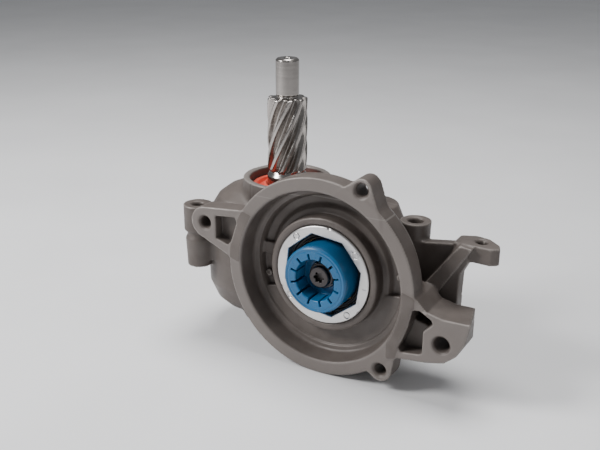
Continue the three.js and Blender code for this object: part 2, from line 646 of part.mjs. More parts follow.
function couplingSleeve() {
  const body = turnedY(
    [
      [10 + FIT, -41.2], [SLEEVE_TIP_R, -41.2], [SLEEVE_TIP_R, SLEEVE_FRONT + 1.2],
      [SLEEVE_TIP_R + 1.2, SLEEVE_FRONT], [SLEEVE_R - 1, SLEEVE_FRONT], [SLEEVE_R, SLEEVE_FRONT + 1],
      [SLEEVE_R, SLEEVE_BACK], [10 + FIT, SLEEVE_BACK], [10 + FIT, -41.2],
    ],
    OUTPUT_X, OUTPUT_Z, 48,
  );
  const slots = [];
  for (let i = 0; i < SLEEVE_SLOTS; i++) {
    const half = 1.1;
    const slot = outline([[-half, SLEEVE_TIP_R - 1], [half, SLEEVE_TIP_R - 1], [half, 20.6], [-half, 20.6]]);
    const geometry = new THREE.ExtrudeGeometry(slot, { depth: 14.5, bevelEnabled: false });
    const angle = (2 * Math.PI * (i + 0.5)) / SLEEVE_SLOTS;
    geometry.rotateX(Math.PI / 2).rotateY(angle);
    slots.push(solid(geometry.translate(OUTPUT_X, SLEEVE_FRONT - CUT + 14.5, OUTPUT_Z)));
  }
  return cut(body, ...slots);
}
place("coupling_sleeve", couplingSleeve(), bluePlastic);
place("sleeve_washer", ringY(4.6, 9.6, -43.6, -41.8), steel);

// A six-lobe socket screw that clamps the sleeve to the shaft.
function sleeveScrew() {
  const profile = [[0, -49], [7.2, -49], [7.8, -48.2], [7.8, -45.4], [9.4, -45.2], [9.4, -43.9], [0, -43.9]];
  const head = turnedY(profile, OUTPUT_X, OUTPUT_Z, SIDES);
  const shank = rodY(4, -44.5, -27, OUTPUT_X, OUTPUT_Z, 16);
  const lobes = [rodY(3, -50, -45.5, OUTPUT_X, OUTPUT_Z, 12)];
  for (let i = 0; i < 6; i++) {
    const angle = (Math.PI * i) / 3;
    const x = OUTPUT_X + 3.1 * Math.cos(angle);
    lobes.push(rodY(1, -50, -45.5, x, OUTPUT_Z + 3.1 * Math.sin(angle), 6));
  }
  return cut(head.add(shank), ...lobes);
}
place("sleeve_screw", sleeveScrew(), darkSteel);

function ringNut() {
  const profile = [
    [0, NUT_FRONT], [NUT_R - 0.6, NUT_FRONT], [NUT_R, NUT_FRONT + 0.6], [NUT_R, NUT_BACK], [0, NUT_BACK],
  ];
  const blank = turnedY(profile, OUTPUT_X, OUTPUT_Z, 48);
  const corners = [];
  for (let i = 0; i < 8; i++) {
    const angle = NUT_PHASE - (i * Math.PI) / 4;
    corners.push([OUTPUT_X + NUT_CORNER_R * Math.cos(angle), OUTPUT_Z + NUT_CORNER_R * Math.sin(angle)]);
  }
  return blank.subtract(slabY(outline(corners), NUT_FRONT - CUT, NUT_BACK + CUT));
}
place("ring_nut", ringNut(), brightAlloy);
const outputSeal = ringY(SLEEVE_R + 0.35, OUTPUT_RACE_R, -38.3, -33.3, OUTPUT_X, OUTPUT_Z, 40);
place("output_oil_seal", outputSeal, blackRubber);

// --------------------------------------------------------------------- bearings
OUTPUT_BEARINGS.forEach(({ name, front, back }) => {
  const across = { inner: OUTPUT_SEAT_R, outer: OUTPUT_RACE_R };
  const size = { ...across, start: front, end: back, x: OUTPUT_X, other: OUTPUT_Z };
  bearing("output_" + name + "_bearing", "Y", size);
});
const uprights = [
  ["input_upper_bearing", UPPER_BEARING, 0, 0],
  ["input_lower_bearing", LOWER_BEARING, 0, 0],
  ["idler_upper_bearing", IDLER_TOP_BEARING, IDLER_X, IDLER_Y],
  ["idler_lower_bearing", IDLER_LOW_BEARING, IDLER_X, IDLER_Y],
];
uprights.forEach(([name, { bottom, top, outer, inner }, x, y]) => {
  bearing(name, "Z", { inner, outer, start: bottom + FIT, end: top - FIT, x, other: y });
});

// ------------------------------------------------------------- seal and plugs
function inputSeal() {
  const outer = COLLAR_BORE_R - FIT;
  const lip = SEAL_SEAT_R + 0.3;
  const profile = [
    [outer, 110], [outer, 120], [23, 120], [22, 117.5], [18.5, 117.5], [17.5, 121], [lip, 120],
    [lip, 118], [17.5, 114], [22, 113], [22, 110], [outer, 110],
  ];
  return turnedZ(profile, 0, 0, SIDES);
}
place("input_oil_seal", inputSeal(), redRubber);
const drainPlug = rodZ(DRAIN.r, 0.4, COVER_FLANGE + 3, DRAIN.x, DRAIN.y, 20);
place("drain_plug", drainPlug.subtract(rodZ(3.4, -CUT, 3.6, DRAIN.x, DRAIN.y, 6)), steel);

export default gearbox;
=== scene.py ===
# The looks of a right-angle bevel gearbox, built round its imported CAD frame.
# Lengths in the shape functions are millimetres in the part's frame, as in the CAD source;
# MM turns them into Blender's metres.
import json
import math

import bpy
import numpy as np
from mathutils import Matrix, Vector


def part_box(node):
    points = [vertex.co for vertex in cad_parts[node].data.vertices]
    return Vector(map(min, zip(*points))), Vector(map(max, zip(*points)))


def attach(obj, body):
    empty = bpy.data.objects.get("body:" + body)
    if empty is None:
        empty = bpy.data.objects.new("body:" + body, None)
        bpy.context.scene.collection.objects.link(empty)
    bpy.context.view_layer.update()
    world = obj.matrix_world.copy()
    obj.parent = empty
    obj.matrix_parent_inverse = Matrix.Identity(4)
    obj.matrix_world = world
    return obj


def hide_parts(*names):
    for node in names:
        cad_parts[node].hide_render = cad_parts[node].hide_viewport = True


MM = 0.001
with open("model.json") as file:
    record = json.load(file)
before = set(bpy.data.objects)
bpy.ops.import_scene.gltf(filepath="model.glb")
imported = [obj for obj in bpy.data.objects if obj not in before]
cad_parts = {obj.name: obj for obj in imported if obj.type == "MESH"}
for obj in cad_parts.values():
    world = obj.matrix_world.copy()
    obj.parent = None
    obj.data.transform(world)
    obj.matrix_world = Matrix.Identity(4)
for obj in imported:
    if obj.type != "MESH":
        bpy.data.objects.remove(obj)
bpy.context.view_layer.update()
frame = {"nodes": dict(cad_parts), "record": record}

OUTPUT_X, OUTPUT_Z = 54.7, 73.0  # the output axis, which runs along Y
IDLER_X, IDLER_Y = 54.7, 30.23  # the idler axis, which runs along Z

# ------------------------------------------------------------------ distance fields
# A field is negative inside the metal. Each function takes coordinate arrays in millimetres.


def polygon(points, a, b):
    """Signed distance in the (a, b) plane to a closed polygon."""
    nearest = np.full(a.shape, 1e9, np.float32)
    inside = np.zeros(a.shape, bool)
    for (x0, y0), (x1, y1) in zip(points, points[1:] + points[:1]):
        ex, ey = x1 - x0, y1 - y0
        wa, wb = a - x0, b - y0
        t = np.clip((wa * ex + wb * ey) / (ex * ex + ey * ey), 0, 1)
        nearest = np.minimum(nearest, (wa - ex * t) ** 2 + (wb - ey * t) ** 2)
        if y0 != y1:
            crosses = (y0 > b) != (y1 > b)
            inside ^= crosses & (a < (b - y0) * ex / ey + x0)
    return np.where(inside, -1, 1) * np.sqrt(nearest)


def capsule(a, b, first, second):
    """Signed distance to the outline wrapped round two circles (x, y, radius)."""
    (x0, y0, r0), (x1, y1, r1) = (first, second) if first[2] >= second[2] else (second, first)
    length = math.hypot(x1 - x0, y1 - y0)
    ux, uy = (x1 - x0) / length, (y1 - y0) / length
    along = (a - x0) * ux + (b - y0) * uy
    across = np.abs(-(a - x0) * uy + (b - y0) * ux)
    sine = (r0 - r1) / length
    cosine = math.sqrt(max(1 - sine * sine, 0))
    k = along * cosine - across * sine
    side = across * cosine + along * sine - r0
    start = np.hypot(along, across) - r0
    end = np.hypot(along - length, across) - r1
    return np.where(k < 0, start, np.where(k > length * cosine, end, side))


def slab(flat, v, low, high):
    """A flat shape's distance, carried from low to high along v."""
    thick = np.abs(v - (low + high) / 2) - (high - low) / 2
    outside = np.hypot(np.maximum(flat, 0), np.maximum(thick, 0))
    return outside + np.minimum(np.maximum(flat, thick), 0)


def blend(a, b, k):
    """The union of two fields with a fillet of about k."""
    h = np.maximum(k - np.abs(a - b), 0) / k
    return np.minimum(a, b) - h * h * k / 4


def carve(a, b, k):
    """Field a less field b, with the cut's edge rounded by about k."""
    return -blend(-a, b, k)


class Space:
    """Coordinate arrays with the distances that most pieces use."""

    def __init__(self, p):
        self.x, self.y, self.z = p[..., 0], p[..., 1], p[..., 2]

    def output_r(self):
        return np.hypot(self.x - OUTPUT_X, self.z - OUTPUT_Z)

    def rod_z(self, x, y, r, low, high):
        return slab(np.hypot(self.x - x, self.y - y) - r, self.z, low, high)

    def rod_y(self, x, z, r, front, back):
        return slab(np.hypot(self.x - x, self.z - z) - r, self.y, front, back)

    def turned_z(self, profile, x, y):
        return polygon(profile, np.hypot(self.x - x, self.y - y), self.z)

    def turned_y(self, profile):
        return polygon(profile, self.output_r(), self.y)

    def plate(self, points, front, back, rounding=0.0):
        flat = polygon(points, self.x, self.z) - rounding
        return slab(flat, self.y, front, back)

    def arm_y(self, first, second, front, back):
        return slab(capsule(self.x, self.z, first, second), self.y, front, back)

    def arm_z(self, first, second, low, high):
        return slab(capsule(self.x, self.y, first, second), self.z, low, high)


BELL_FRONT = -52.0
COLLAR_TOP = 125.7
TOWER_R = 42.2
TOWER_FRONT = -43.9
LEFT_POST = (-56.0, -38.0)
RIGHT_POST = (105.0, 0.0)
EAR = (155.0, -4.0)
LEFT_LUG = (-40.0, 97.0)
TOP_LUG = (87.0, 143.0)
LOW_LUG = (105.0, 16.0)
ARM_LUG = (148.0, 47.0)
COVER_SCREW_R = 2.9
DRAIN_X, DRAIN_Y = 82, 28
CORE = -9  # a solid's turned outline closes here, on the far side of its axis


def filled(points):
    """A turned outline closed past its axis, so that the axis lies inside it."""
    return [(CORE, points[0][1]), *points, (CORE, points[-1][1])]


# -------------------------------------------------------------------------- housing
def housing_outside(s):
    """The casting without its arm, before anything is cut from it."""
    bell = s.turned_y([
        (CORE, -51.2), (72.2, -51.2), (72.2, -38), (68.2, -30), (61, -20.5), (48, -12), (CORE, -11),
    ]) - 0.8
    plan = capsule(s.x, s.y, (0, 0, 42), (-26, -2, 38))
    sides = [
        (-60, 16), (-20, 16), (-12, 21), (-5, 28), (0, 40), (0.5, 60),
        (0, 86), (-2.5, 98), (-8, 107), (-16, 113), (-27, 117.5), (-60, 118),
    ]
    chamber = polygon([(g - 1.5, z) for g, z in sides], plan, s.z) - 1.5
    idler_case = filled([(45.5, 5.2), (46, 54), (39, 66), (29, 84), (21, 104)])
    idler = s.turned_z(idler_case, IDLER_X, IDLER_Y) - 1
    barrel = s.turned_y(filled([(43, -30), (39, -10), (35, 30)])) - 1
    body = blend(chamber, idler, 8)
    body = blend(body, barrel, 8)
    # the foot is wider round the input gear than at the cover
    foot = s.arm_z((0, 0, 22), (IDLER_X, IDLER_Y, 46), 5.2, 16)
    foot = np.minimum(foot, s.arm_z((0, 0, 34.5), (IDLER_X, IDLER_Y, 46), 14.5, 36))
    body = blend(body, foot, 3)
    body = blend(body, bell, 7)
    collar = s.turned_z(filled([(32.5, 90), (32.5, COLLAR_TOP - 0.5)]), 0, 0) - 0.5
    body = blend(body, collar, 4)
    return housing_lugs(s, housing_posts(s, body))


def housing_posts(s, body):
    """The two posts with upright bolt holes, and the webs that tie them to the chamber."""
    necked = filled([(8.8, 56.8), (9.7, 78), (8.2, 81), (8.2, 83), (10.4, 85.5), (10.4, 104.4)])
    body = blend(body, s.turned_z(necked, *LEFT_POST) - 0.6, 2.5)
    body = blend(body, s.arm_z((*LEFT_POST, 6), (-30, -20, 9), 62, 95), 4)
    tapered = filled([(9.2, 84), (10.4, 109.4)])
    body = blend(body, s.turned_z(tapered, *RIGHT_POST) - 0.6, 3)
    return blend(body, s.arm_z((*RIGHT_POST, 8), (80, 0, 16), 84, 101), 4)


def housing_lugs(s, body):
    """The bell's three lugs: each is wrapped round its bolt hole and a root inside the bell."""
    for place, r, root, back, fillet in (
        (LEFT_LUG, 11.5, (-8, 92, 19.5), -37.5, 2),
        (TOP_LUG, 7.3, (80, 120, 21.5), -36.5, 1.5),
        (LOW_LUG, 8, (95, 40, 21.5), -36.5, 1.5),
    ):
        body = blend(body, s.arm_y((*place, r), root, -51.5, back) - 0.5, fillet)
    return body


def housing_arm(s, body):
    """The right arm: front lug, block, two webs, diagonal rib and ear."""
    face = [
        (112, 29), (138, 31.8), (150.4, 34.8), (158.2, 41.6), (163.2, 51.3), (166, 65.2),
        (163, 65.2), (148, 64.7), (136.6, 67.2), (129.5, 74), (112, 79),
    ]
    lug = s.plate(face, -51.3, -24.7) - 0.7
    lug = np.maximum(lug, (s.x - 167 + 0.24 * (s.y + 52)) * 0.97)  # narrower towards the back
    block = s.plate([(100, 43), (142, 47), (142.5, 62), (119, 62), (100, 69)], -24, -3) - 1
    back_web = [
        (97, 41), (137, 41), (140, 58), (140, 79), (144, 86), (149, 94), (139, 101.2), (113, 97.4),
        (100, 96),
    ]
    back = s.plate(back_web, -8.3, -1.7) - 0.7
    lean = 0.12 * (s.z - 84)  # the front web and the rib lean back as they rise
    front_web = [(119, 51), (145.3, 51), (145.3, 84), (150, 94), (147, 103), (142, 103), (121, 66)]
    front = slab(polygon(front_web, s.x, s.z), s.y - lean, -17.4, -8.6) - 0.6
    diagonal = [(126.5, 61), (152.6, 103.4), (144.8, 104.4), (119.5, 69)]
    rib = slab(polygon(diagonal, s.x, s.z), s.y - lean, -21.4, -8) - 0.6
    ear_plan = [
        (140.5, -11.8), (140.5, -0.2), (148.6, 3.3), (157, 1.5), (165.4, -6), (167.2, -10.6),
        (164, -12.6),
    ]
    ear = slab(polygon(ear_plan, s.x, s.y) - 1.6, s.z, 93.7, 104.3) - 0.7
    arm = blend(blend(back, block, 3), lug, 2.5)
    arm = blend(arm, blend(blend(front, rib, 2.0), ear, 2.0), 2.0)
    return blend(body, arm, 3)


def housing_hollows(s, body):
    """The bell's hollow round its tower: a shallow ledge below and a deeper floor above."""
    above = (s.z - 44 - 0.1456 * (s.x + 40)) / 1.01
    rim = s.turned_y(filled([
        (63.8, -70), (63.8, -52), (62.9, -51), (61.6, -38.6), (60.4, -37), (58.4, -36.5),
        (57.4, -36.4), (56.9, -35), (42, -33.5),
    ]))
    deep = s.turned_y(filled([
        (56.8, -70), (56.4, -34.5), (55.2, -30.6), (49.5, -30.2), (46.6, -33.2), (42, -34),
    ]))
    deep = np.maximum(deep, -above)
    # a low land and a bump on the tower's left, and a bump on its right
    land = slab(np.maximum(np.abs(s.x - 2) - 14, np.abs(s.z - 80) - 4.4), s.y, -33.2, -10)
    deep = carve(deep, land, 1.5)
    for x, z, size in ((4, 60, 2.6), (109, 79, 2.4)):
        deep = carve(deep, s.rod_y(x, z, size, -33.6, -10), 1.2)
    hollow = blend(rim, deep, 0.8)
    hollow = carve(hollow, s.output_r() - TOWER_R, 1.6)
    tower_top = s.turned_y(filled([(46, -70), (46, -42.7), (42.3, -42.7), (41.1, TOWER_FRONT)]))
    return carve(body, np.minimum(hollow, tower_top), 0.8)


def gear_rooms(s):
    """What is bored and cored out of the casting for the shafts, gears and bearings."""
    output_bore = [
        (CORE, -50), (38, -46), (38, -43.9), (36.7, -42.5), (36.7, -38.4), (34.2, -38.4),
        (34.2, -9.2), (31.5, -9.2), (31.5, 4), (26, 16), (CORE, 16),
    ]
    idler_tunnel = filled([
        (36, 56), (31, 64), (24, 82), (12, 88), (12, 91.8), (16.3, 91.8), (16.3, 101.4),
    ])
    return [
        s.turned_z(filled([(28.1, 92), (28.1, 124.6), (29, 126.5)]), 0, 0),
        s.turned_y(output_bore),
        s.arm_z((0, 0, 18), (IDLER_X, IDLER_Y, 41.5), -2, 33),
        s.arm_z((0, 0, 30.5), (IDLER_X, IDLER_Y, 41.5), 17.5, 33),
        s.arm_z((0, 0, 24), (-24, -2, 27), 30, 76),
        s.rod_z(IDLER_X, IDLER_Y, 40, 30, 58),
        s.arm_z((0, 0, 20), (IDLER_X, IDLER_Y, 20), 30, 56),
        s.rod_z(0, 0, 18, 70, 95),
        s.turned_z(idler_tunnel, IDLER_X, IDLER_Y),
    ]


def bolt_holes(s):
    """The upright holes of the posts and ear, and the holes through the lugs."""
    cuts = []
    for place, hole, top in ((LEFT_POST, 4.6, 105), (RIGHT_POST, 5.5, 110), (EAR, 4, 105)):
        mouth = [(hole, 40), (hole, top - 1.2), (hole + 1.6, top + 0.4), (hole + 1.6, top + 9)]
        # shallow rings stand for the thread
        thread = 0.22 * np.sin(s.z * 2 * math.pi / 1.5) * (s.z < top - 2)
        cuts.append(s.turned_z(filled(mouth), *place) + thread)
    for (x, z), hole, back in (
        (LEFT_LUG, 4.5, -20), (TOP_LUG, 4.4, -20), (LOW_LUG, 4.2, -20), (ARM_LUG, 5.4, -10),
    ):
        mouth = [(hole + 1.7, -60), (hole + 1.7, -52), (hole, -50.4), (hole, back)]
        cuts.append(polygon(filled(mouth), np.hypot(s.x - x, s.z - z), s.y))
    return cuts


def housing_bores(s, body):
    for cut in gear_rooms(s) + bolt_holes(s):
        body = np.maximum(body, -cut)
    # cored pockets: in the left lug, then the upper and lower ones of the arm
    for outline, floor_y in (
        ([(-29, 102.5), (-14.3, 104.2), (-13, 102), (-18, 87.5), (-20.5, 85), (-29, 87.6)], -43.5),
        ([(128.2, 65.8), (131.6, 66.2), (139.1, 62), (139.8, 60.6), (134.6, 55.2), (126.4, 57)], -30.5),
        ([(127, 58), (133.6, 53.5), (133.6, 38.4), (132.4, 37.4), (121, 35.8), (119.6, 37.6),
          (123.4, 47)], -41.5),
    ):
        body = carve(body, s.plate(outline, -60, floor_y, 1.4), 1.0)
    # a small recess between the collar and the bell
    notch = slab(polygon([(-19.5, -36.6), (-9, -37.6), (-13.5, -31)], s.x, s.y) - 1, s.z, 98, 140)
    body = carve(body, notch, 1.0)
    for x, y in screw_places():
        body = np.maximum(body, -s.rod_z(x, y, COVER_SCREW_R, -5, 17))
    return body


def screw_places():
    """Where the cover's screws stand: 4.5 mm outside the circles that the cover is wrapped round."""
    places = []
    for x, y, r, degrees in (
        (0, 0, 19, 120), (0, 0, 19, 285), (IDLER_X, IDLER_Y, 43, -20),
        (IDLER_X, IDLER_Y, 43, 40), (IDLER_X, IDLER_Y, 43, 95), (IDLER_X, IDLER_Y, 43, 150),
    ):
        turn = math.radians(degrees)
        places.append((x + (r + 4.5) * math.cos(turn), y + (r + 4.5) * math.sin(turn)))
    return places


def housing_field(p):
    s = Space(p)
    body = housing_outside(s)
    for x, y in screw_places():
        body = blend(body, s.rod_z(x, y, 7.2, 5.2, 30) - 0.2, 2)
    body = housing_arm(s, body)
    body = housing_hollows(s, body)
    return housing_bores(s, body)


# ---------------------------------------------------------------------------- cover
def cover_field(p):
    s = Space(p)
    body = s.arm_z((0, 0, 21), (IDLER_X, IDLER_Y, 45), 1, 4) - 1
    for x, y in screw_places():
        body = blend(body, s.rod_z(x, y, 6.6, 1, 4) - 1, 2)
    for x, y, r in ((0, 0, 16.5), (IDLER_X, IDLER_Y, 20)):
        body = blend(body, s.rod_z(x, y, r + 1.2, 0.5, 14), 1)
        body = np.maximum(body, -s.rod_z(x, y, r + 0.2, 3.8, 20))
    # a shallow recess between the two bearing bosses
    body = carve(body, s.arm_z((0, 0, 12), (IDLER_X, IDLER_Y, 34), -3, 1.2), 0.8)
    body = blend(body, s.rod_z(DRAIN_X, DRAIN_Y, 8.5, 0.3, 4), 0.8)
    for x, y in screw_places():
        hole = np.minimum(s.rod_z(x, y, COVER_SCREW_R, -3, 8), s.rod_z(x, y, 5.2, -3, 3.2))
        body = np.maximum(body, -hole)
    return np.maximum(body, -s.rod_z(DRAIN_X, DRAIN_Y, 5.3, -3, 8))


# ---------------------------------------------------------------------- input shaft
HELIX_BOTTOM = 130.0
HELIX_TEETH = 9
HELIX_TWIST = math.tan(math.radians(24)) / 12.8  # radians of turn for each millimetre of height


def shaft_field(p):
    s = Space(p)
    core = s.turned_z(filled([
        (7, 4.2), (7.8, 5), (7.8, 14.6), (12, 14.6), (12, 17.8), (11, 17.8), (11, 44),
        (14.5, 44), (14.5, 91.5), (12.3, 91.5), (12.3, 108), (15, 108), (15, 127), (12.5, 131),
        (9.6, 131.5), (9.6, 185.8), (8.1, 185.8), (8.1, 187.2), (8.5, 187.6), (8.5, 212.6),
        (7.3, 213.8), (2.6, 213.8), (1.2, 210.3),
    ]), 0, 0)
    # one tooth, folded round the axis and twisted with height
    step = math.pi / HELIX_TEETH
    around = np.arctan2(s.y, s.x) - (s.z - HELIX_BOTTOM) * HELIX_TWIST
    fold = np.mod(around + step, 2 * step) - step
    r = np.hypot(s.x, s.y)
    half = [(10.7, 0.95), (11.2, 0.76), (12.2, 0.6), (13.4, 0.43), (14.3, 0.3), (14.6, 0.2)]
    side = [(radius * math.cos(step * share), radius * math.sin(step * share)) for radius, share in half]
    flanks = [(0, 0)] + [(a, -b) for a, b in side] + side[::-1]
    tooth = polygon(flanks, r * np.cos(fold), r * np.sin(fold)) - 0.2
    ends = s.turned_z(filled([(11, 128.5), (15.2, 132.5), (15.2, 184.2), (14, 185.4)]), 0, 0)
    teeth = np.maximum(tooth * 0.9, ends)
    key = slab(np.maximum(np.abs(s.x - 12.1) - 2.1, np.abs(s.y) - 3), s.z, 19, 31)
    return np.minimum(blend(core, teeth, 0.6), key)


# ------------------------------------------------------------------------- ring nut
NUT_FACE = -44.6
NUT_CORNER_R = 30.9
NUT_RINGS = (128.5, 38.5, -51.5, -141.5)
NUT_STAKES = (82, -155, -37)
NUT_TICK = -5


def at_angle(degrees, r):
    """The place at that angle and radius from the output axis, seen from the front."""
    turn = math.radians(degrees)
    return OUTPUT_X + r * math.cos(turn), OUTPUT_Z + r * math.sin(turn)


def octagon(s):
    u, v = s.x - OUTPUT_X, s.z - OUTPUT_Z
    turns = [math.radians(105.5 + 22.5 + 45 * k) for k in range(8)]
    flats = [u * math.cos(turn) + v * math.sin(turn) for turn in turns]
    return np.maximum.reduce(flats) - NUT_CORNER_R * math.cos(math.pi / 8)


def nut_field(p):
    s = Space(p)
    body = s.turned_y(filled([(35.8, NUT_FACE), (36.5, -43.9), (36.5, -38.6)]))
    eight = octagon(s)
    body = np.maximum(body, -eight)
    body = np.maximum(body, -(eight - 0.6 + np.maximum(s.y - NUT_FACE, 0)) * 0.707)
    # faint turned rings on the face
    body = body + 0.025 * np.sin(s.output_r() * 9) * (s.y < -44)
    for degrees in NUT_RINGS:
        x, z = at_angle(degrees, 32.9)
        ring = np.abs(np.hypot(s.x - x, s.z - z) - 2.3) - 0.28
        body = np.maximum(body, -np.maximum(ring, s.y + 44.1))
    for degrees in NUT_STAKES:
        x, z = at_angle(degrees, 37.2)
        dent = np.sqrt((s.x - x) ** 2 + (s.z - z) ** 2 + (s.y + 45.2) ** 2) - 1.9
        body = np.maximum(body, -dent)
    x, z = at_angle(NUT_TICK, 33.6)
    tick = np.maximum(np.abs(s.z - z) - 0.3, np.maximum(np.abs(s.x - x) - 1.5, s.y + 44.2))
    return np.maximum(body, -tick)


# --------------------------------------------------------------- sleeve and its screw
SLEEVE_SLOTS = 12
SOCKET_FLOOR = -45.5


def sleeve_field(p):
    s = Space(p)
    body = s.turned_y([
        (10.2, -41.2), (15.2, -41.2), (15.2, -54.6), (15.8, -55.2), (23.1, -55.2), (24.3, -54),
        (24.3, -33.8), (10.2, -33.8),
    ])
    r = s.output_r()
    step = math.pi / SLEEVE_SLOTS
    around = np.mod(np.arctan2(s.z - OUTPUT_Z, s.x - OUTPUT_X), 2 * step) - step
    slot = np.maximum(np.abs(r * np.sin(around)) - 0.8, r * np.cos(around) - 19.6)
    slot = np.maximum(np.maximum(slot, 13 - r), s.y + 41.7)
    groove = np.maximum(np.abs(r - 21.6) - 0.5, s.y + 54.9)
    return np.maximum(np.maximum(body, -slot), -groove)


def screw_field(p):
    """The screw's head with its six-lobe socket, and its shank."""
    s = Space(p)
    head = s.turned_y(filled([
        (7, -49), (7.8, -48.2), (7.8, -45.6), (9.2, -45.3), (9.4, -44.9), (9.4, -43.9),
    ]))
    body = blend(head, s.rod_y(OUTPUT_X, OUTPUT_Z, 4, -44.5, -27), 0.5)
    socket = s.rod_y(OUTPUT_X, OUTPUT_Z, 2.9, -51, SOCKET_FLOOR)
    for k in range(6):
        x, z = at_angle(60 * k, 3.0)
        socket = np.minimum(socket, s.rod_y(x, z, 1.05, -51, SOCKET_FLOOR))
    return carve(body, socket, 0.3)


# ---------------------------------------------------------------------------- seals
def seal_field(p):
    """The input shaft's seal: its case, two lips and the ridges between them."""
    s = Space(p)
    return s.turned_z([
        (27.9, 110), (27.9, 116.2), (26.4, 116.2), (26.2, 119.6), (25.8, 120), (22.9, 120),
        (22.3, 117.4), (21.4, 116.8), (20.6, 117.6), (19.6, 117.6), (19, 116.8), (18.2, 118),
        (17.6, 120.4), (16.6, 120.8), (15.3, 119.4), (15.3, 118), (17.5, 114), (22, 113), (22, 110),
    ], 0, 0) - 0.05


def output_seal_field(p):
    """The seal behind the ring nut."""
    s = Space(p)
    return s.turned_y([
        (33.9, -38.2), (33.9, -33.4), (24.75, -33.4), (24.75, -36), (25.4, -37.6), (26.2, -37.8),
        (26.6, -36.6), (28, -36.6), (28.6, -38.2),
    ])


# ------------------------------------------------------------------- field to mesh
BLOCK = 8


def sample(field, low, step, blocks):
    """The field on a grid; only blocks near the surface are sampled in full."""
    size = BLOCK * step
    index = np.stack(np.meshgrid(*[np.arange(n) for n in blocks], indexing="ij"), -1).reshape(-1, 3)
    centres = (low + (index + 0.5) * size).astype(np.float32)
    rough = field(centres)
    values = np.empty((*blocks, BLOCK, BLOCK, BLOCK), np.float32)
    values[:] = rough.reshape(*blocks, 1, 1, 1)
    near = index[np.abs(rough) < size * 1.1]
    inner = np.stack(np.meshgrid(*[np.arange(BLOCK)] * 3, indexing="ij"), -1).reshape(1, -1, 3)
    for part in np.array_split(near, max(len(near) // 400, 1)):
        points = low + (part[:, None] * BLOCK + inner) * step
        got = field(points.astype(np.float32)).reshape(-1, BLOCK, BLOCK, BLOCK)
        values[part[:, 0], part[:, 1], part[:, 2]] = got
    return values.transpose(0, 3, 1, 4, 2, 5).reshape([n * BLOCK for n in blocks])


def surface_net(values, low, step):
    """Vertices and quads of the zero surface: one vertex in each cell that it crosses."""
    shape = values.shape
    inside = values < 0
    total = np.zeros((*shape, 3), np.float32)
    count = np.zeros(shape, np.float32)
    crossings = []
    for axis in range(3):
        a = [slice(None)] * 3
        b = [slice(None)] * 3
        a[axis], b[axis] = slice(0, -1), slice(1, None)
        where = np.argwhere(inside[tuple(a)] != inside[tuple(b)])
        f0 = values[tuple(where.T)]
        beyond = where.copy()
        beyond[:, axis] += 1
        f1 = values[tuple(beyond.T)]
        at = where.astype(np.float32)
        at[:, axis] += f0 / (f0 - f1)
        u, v = (axis + 1) % 3, (axis + 2) % 3
        cells = []
        for du, dv in ((0, 0), (-1, 0), (-1, -1), (0, -1)):
            cell = where.copy()
            cell[:, u] += du
            cell[:, v] += dv
            np.add.at(total, tuple(cell.T), at)
            np.add.at(count, tuple(cell.T), 1)
            cells.append(cell)
        crossings.append((cells, f0 < 0))
    used = np.argwhere(count > 0)
    number = np.full(shape, -1, np.int64)
    number[tuple(used.T)] = np.arange(len(used))
    verts = total[tuple(used.T)] / count[tuple(used.T)][:, None] * step + low
    quads = []
    for cells, starts_inside in crossings:
        quad = np.stack([number[tuple(c.T)] for c in cells], 1)
        quads.append(np.where(starts_inside[:, None], quad, quad[:, ::-1]))
    return verts, np.concatenate(quads)


def settle(field, verts, step):
    """Moves each vertex onto the surface, by no more than half a cell along each axis."""
    start = verts.copy()
    small = 0.15  # the reach of the central differences
    for _ in range(2):
        value = field(verts.astype(np.float32))
        slope = np.stack([
            (field((verts + d).astype(np.float32)) - field((verts - d).astype(np.float32))) / (2 * small)
            for d in np.eye(3) * small
        ], -1)
        size = np.maximum((slope ** 2).sum(-1), 0.25)
        verts = verts - slope * (value / size)[:, None]
        verts = start + np.clip(verts - start, -0.5 * step, 0.5 * step)
    return verts


def mesh_of_field(name, field, low, high, step):
    """A smooth-shaded object: the field's surface within the box, from low to high."""
    low = np.array(low, float) - 2 * step
    blocks = np.ceil((np.array(high) + 2 * step - low) / (BLOCK * step)).astype(int)
    verts, quads = surface_net(sample(field, low, step, blocks), low, step)
    verts = settle(field, verts, step)
    mesh = bpy.data.meshes.new(name)
    mesh.from_pydata((verts * MM).tolist(), [], quads.tolist())
    mesh.update()
    made = bpy.data.objects.new(name, mesh)
    bpy.context.scene.collection.objects.link(made)
    for face in mesh.polygons:
        face.use_smooth = True
    return made


# ------------------------------------------------------------------------ materials
def material(name, color, rough, metal=0.0):
    made = bpy.data.materials.new(name)
    made.use_nodes = True
    shader = made.node_tree.nodes["Principled BSDF"]
    shader.inputs["Base Color"].default_value = (*color, 1)
    shader.inputs["Roughness"].default_value = rough
    shader.inputs["Metallic"].default_value = metal
    return made, made.node_tree, shader


def noise(tree, scale, detail=4.0, stretch=(1, 1, 1)):
    coords = tree.nodes.new("ShaderNodeTexCoord")
    mapping = tree.nodes.new("ShaderNodeMapping")
    mapping.inputs["Scale"].default_value = stretch
    made = tree.nodes.new("ShaderNodeTexNoise")
    made.inputs["Scale"].default_value = scale
    made.inputs["Detail"].default_value = detail
    tree.links.new(coords.outputs["Object"], mapping.inputs["Vector"])
    tree.links.new(mapping.outputs["Vector"], made.inputs["Vector"])
    return made.outputs["Fac"]


def ramp(tree, source, stops):
    made = tree.nodes.new("ShaderNodeValToRGB")
    elements = made.color_ramp.elements
    while len(elements) < len(stops):
        elements.new(0.5)
    for element, (at, color) in zip(elements, stops):
        element.position = at
        element.color = (*color, 1) if len(color) == 3 else (color[0],) * 3 + (1,)
    tree.links.new(source, made.inputs["Fac"])
    return made.outputs["Color"]


